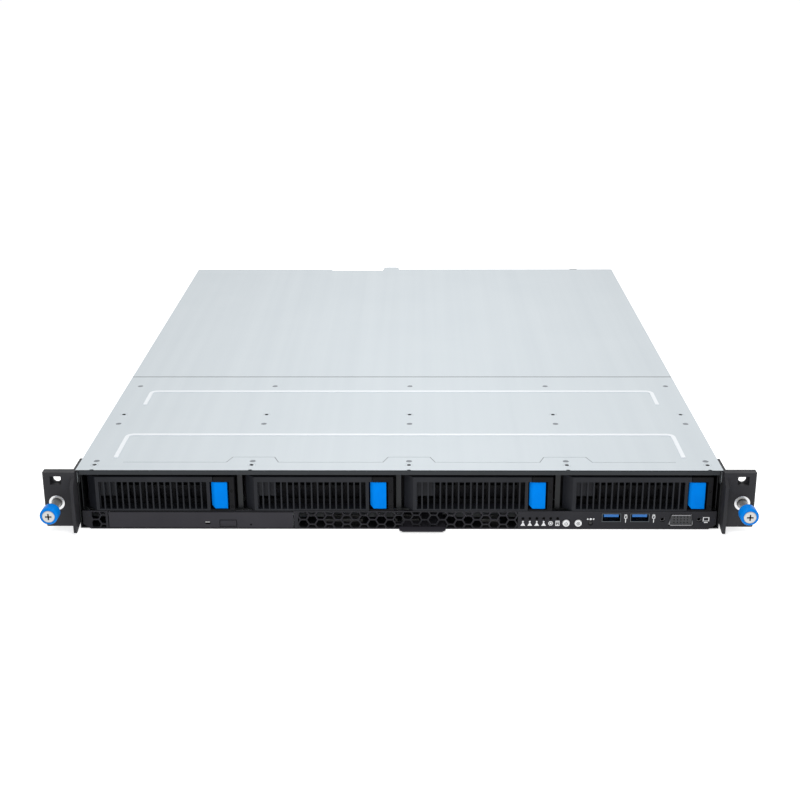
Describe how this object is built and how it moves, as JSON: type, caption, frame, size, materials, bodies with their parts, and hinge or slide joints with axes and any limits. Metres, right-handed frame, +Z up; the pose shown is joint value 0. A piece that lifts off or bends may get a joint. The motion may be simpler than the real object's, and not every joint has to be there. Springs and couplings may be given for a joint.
{
  "type": "1u rack server",
  "caption": "Flat rack-mount computer with front disk trays, slim disc drive, vents, rack ears with thumbscrews, sliding top cover and pull-out rear power supply.",
  "frame": {"origin": "underside of the base, in the middle of the width, on the plane where the rear faces of the ears meet the rack posts", "axes": "+X to the right seen from the front, +Y from the front to the rear, +Z up"},
  "size_m": [0.4826, 0.6063, 0.0441],
  "materials": {
    "cover_steel": "satin galvanised sheet",
    "chassis_steel": "galvanised sheet",
    "black_paint": "matt black",
    "ear_paint": "matt charcoal",
    "bright_steel": "bright nickel",
    "blue_knob": "blue knob on a steel screw",
    "dark_steel": "black oxide",
    "tray_plastic": "fine grain",
    "latch_plastic": "bright blue",
    "disk_metal": "cast and sheet metal",
    "bezel_plastic": "fine grain",
    "white_plastic": "white",
    "clear_plastic": "clear",
    "circuit_board": "solder mask",
    "socket_plastic": "matt",
    "port_steel": "nickel",
    "sink_metal": "plain",
    "fan_plastic": "matt"
  },
  "bodies": {
    "chassis": {"base_pan": "chassis_steel", "rear_panel": "chassis_steel", "drive_cage": "chassis_steel", "front_beam": "black_paint", "front_panel": "black_paint", "io_board": "circuit_board", "usb_ports": "port_steel", "vga_port": "port_steel", "led_light_pipes": "clear_plastic", "optical_drive_case": "chassis_steel", "backplane": "circuit_board", "fan_frames": "fan_plastic", "motherboard": "circuit_board", "board_sockets": "socket_plastic", "heatsink": "sink_metal", "memory_modules": "circuit_board", "air_duct": "fan_plastic", "slot_covers": "chassis_steel", "rear_ports": "port_steel", "front_cover": "cover_steel", "cover_screws": "dark_steel", "left_ear": "ear_paint", "right_ear": "ear_paint", "ear_ferrules": "bright_steel"},
    "tray_1": {"tray_carrier_1": "tray_plastic", "hard_disk_1": "disk_metal"},
    "lever_1": {"tray_lever_1": "tray_plastic"},
    "latch_1": {"tray_latch_1": "latch_plastic"},
    "tray_2": {"tray_carrier_2": "tray_plastic", "hard_disk_2": "disk_metal"},
    "lever_2": {"tray_lever_2": "tray_plastic"},
    "latch_2": {"tray_latch_2": "latch_plastic"},
    "tray_3": {"tray_carrier_3": "tray_plastic", "hard_disk_3": "disk_metal"},
    "lever_3": {"tray_lever_3": "tray_plastic"},
    "latch_3": {"tray_latch_3": "latch_plastic"},
    "tray_4": {"tray_carrier_4": "tray_plastic", "hard_disk_4": "disk_metal"},
    "lever_4": {"tray_lever_4": "tray_plastic"},
    "latch_4": {"tray_latch_4": "latch_plastic"},
    "optical_tray": {"optical_tray": "bezel_plastic"},
    "eject_button": {"eject_button": "bezel_plastic"},
    "power_button": {"power_button": "white_plastic"},
    "locate_button": {"locate_button": "white_plastic"},
    "reset_button": {"reset_button": "bezel_plastic"},
    "asset_tag": {"asset_tag": "bezel_plastic"},
    "rear_cover": {"rear_cover": "cover_steel"},
    "left_clip": {"left_screw_clip": "bright_steel"},
    "left_thumbscrew": {"left_thumbscrew": "blue_knob"},
    "right_clip": {"right_screw_clip": "bright_steel"},
    "right_thumbscrew": {"right_thumbscrew": "blue_knob"},
    "fan_rotor_1": {"fan_rotor_1": "fan_plastic"},
    "fan_rotor_2": {"fan_rotor_2": "fan_plastic"},
    "fan_rotor_3": {"fan_rotor_3": "fan_plastic"},
    "fan_rotor_4": {"fan_rotor_4": "fan_plastic"},
    "fan_rotor_5": {"fan_rotor_5": "fan_plastic"},
    "psu": {"psu_case": "chassis_steel", "psu_handle": "fan_plastic"},
    "psu_latch": {"psu_latch": "latch_plastic"},
    "psu_rotor": {"psu_rotor": "fan_plastic"}
  },
  "joints": [
    {"name": "tray_slide_1", "type": "slide", "parent": "chassis", "child": "tray_1", "axis": [0, -1, 0], "range_m": [0, 0.15]},
    {"name": "lever_swing_1", "type": "hinge", "parent": "tray_1", "child": "lever_1", "pos_m": [-0.20835, 0.0052, 0.0261], "axis": [0, 0, -1], "range_deg": [0, 60]},
    {"name": "latch_slide_1", "type": "slide", "parent": "tray_1", "child": "latch_1", "axis": [1, 0, 0], "range_m": [0, 0.001], "stiffness_N_per_m": 400, "springref_m": -0.0005},
    {"name": "tray_slide_2", "type": "slide", "parent": "chassis", "child": "tray_2", "axis": [0, -1, 0], "range_m": [0, 0.15]},
    {"name": "lever_swing_2", "type": "hinge", "parent": "tray_2", "child": "lever_2", "pos_m": [-0.09985, 0.0052, 0.0261], "axis": [0, 0, -1], "range_deg": [0, 60]},
    {"name": "latch_slide_2", "type": "slide", "parent": "tray_2", "child": "latch_2", "axis": [1, 0, 0], "range_m": [0, 0.001], "stiffness_N_per_m": 400, "springref_m": -0.0005},
    {"name": "tray_slide_3", "type": "slide", "parent": "chassis", "child": "tray_3", "axis": [0, -1, 0], "range_m": [0, 0.15]},
    {"name": "lever_swing_3", "type": "hinge", "parent": "tray_3", "child": "lever_3", "pos_m": [0.00865, 0.0052, 0.0261], "axis": [0, 0, -1], "range_deg": [0, 60]},
    {"name": "latch_slide_3", "type": "slide", "parent": "tray_3", "child": "latch_3", "axis": [1, 0, 0], "range_m": [0, 0.001], "stiffness_N_per_m": 400, "springref_m": -0.0005},
    {"name": "tray_slide_4", "type": "slide", "parent": "chassis", "child": "tray_4", "axis": [0, -1, 0], "range_m": [0, 0.15]},
    {"name": "lever_swing_4", "type": "hinge", "parent": "tray_4", "child": "lever_4", "pos_m": [0.11715, 0.0052, 0.0261], "axis": [0, 0, -1], "range_deg": [0, 60]},
    {"name": "latch_slide_4", "type": "slide", "parent": "tray_4", "child": "latch_4", "axis": [1, 0, 0], "range_m": [0, 0.001], "stiffness_N_per_m": 400, "springref_m": -0.0005},
    {"name": "optical_tray_slide", "type": "slide", "parent": "chassis", "child": "optical_tray", "axis": [0, -1, 0], "range_m": [0, 0.11]},
    {"name": "eject_button_press", "type": "slide", "parent": "optical_tray", "child": "eject_button", "axis": [0, 1, 0], "range_m": [0, 0.0006], "stiffness_N_per_m": 400, "springref_m": -0.0005},
    {"name": "power_button_press", "type": "slide", "parent": "chassis", "child": "power_button", "axis": [0, 1, 0], "range_m": [0, 0.0006], "stiffness_N_per_m": 400, "springref_m": -0.0005},
    {"name": "locate_button_press", "type": "slide", "parent": "chassis", "child": "locate_button", "axis": [0, 1, 0], "range_m": [0, 0.0006], "stiffness_N_per_m": 400, "springref_m": -0.0005},
    {"name": "reset_button_press", "type": "slide", "parent": "chassis", "child": "reset_button", "axis": [0, 1, 0], "range_m": [0, 0.0006], "stiffness_N_per_m": 400, "springref_m": -0.0005},
    {"name": "asset_tag_slide", "type": "slide", "parent": "chassis", "child": "asset_tag", "axis": [0, -1, 0], "range_m": [0, 0.055]},
    {"name": "rear_cover_slide", "type": "slide", "parent": "chassis", "child": "rear_cover", "axis": [0, 1, 0], "range_m": [0, 0.012]},
    {"name": "left_screw_push", "type": "slide", "parent": "chassis", "child": "left_clip", "axis": [0, 1, 0], "range_m": [0, 0.008], "stiffness_N_per_m": 250, "springref_m": -0.002},
    {"name": "left_screw_turn", "type": "hinge", "parent": "left_clip", "child": "left_thumbscrew", "pos_m": [-0.23255, 0, 0.0218], "axis": [0, -1, 0], "continuous": true},
    {"name": "right_screw_push", "type": "slide", "parent": "chassis", "child": "right_clip", "axis": [0, 1, 0], "range_m": [0, 0.008], "stiffness_N_per_m": 250, "springref_m": -0.002},
    {"name": "right_screw_turn", "type": "hinge", "parent": "right_clip", "child": "right_thumbscrew", "pos_m": [0.23255, 0, 0.0218], "axis": [0, -1, 0], "continuous": true},
    {"name": "fan_spin_1", "type": "hinge", "parent": "chassis", "child": "fan_rotor_1", "pos_m": [-0.164, 0.206, 0.021], "axis": [0, 1, 0], "continuous": true},
    {"name": "fan_spin_2", "type": "hinge", "parent": "chassis", "child": "fan_rotor_2", "pos_m": [-0.082, 0.206, 0.021], "axis": [0, 1, 0], "continuous": true},
    {"name": "fan_spin_3", "type": "hinge", "parent": "chassis", "child": "fan_rotor_3", "pos_m": [0, 0.206, 0.021], "axis": [0, 1, 0], "continuous": true},
    {"name": "fan_spin_4", "type": "hinge", "parent": "chassis", "child": "fan_rotor_4", "pos_m": [0.082, 0.206, 0.021], "axis": [0, 1, 0], "continuous": true},
    {"name": "fan_spin_5", "type": "hinge", "parent": "chassis", "child": "fan_rotor_5", "pos_m": [0.164, 0.206, 0.021], "axis": [0, 1, 0], "continuous": true},
    {"name": "psu_slide", "type": "slide", "parent": "chassis", "child": "psu", "axis": [0, 1, 0], "range_m": [0, 0.17]},
    {"name": "psu_latch_press", "type": "slide", "parent": "psu", "child": "psu_latch", "axis": [-1, 0, 0], "range_m": [0, 0.002], "stiffness_N_per_m": 400, "springref_m": -0.0005},
    {"name": "psu_fan_spin", "type": "hinge", "parent": "psu", "child": "psu_rotor", "pos_m": [0.1646, 0.5415, 0.0213], "axis": [0, 1, 0], "continuous": true}
  ]
}
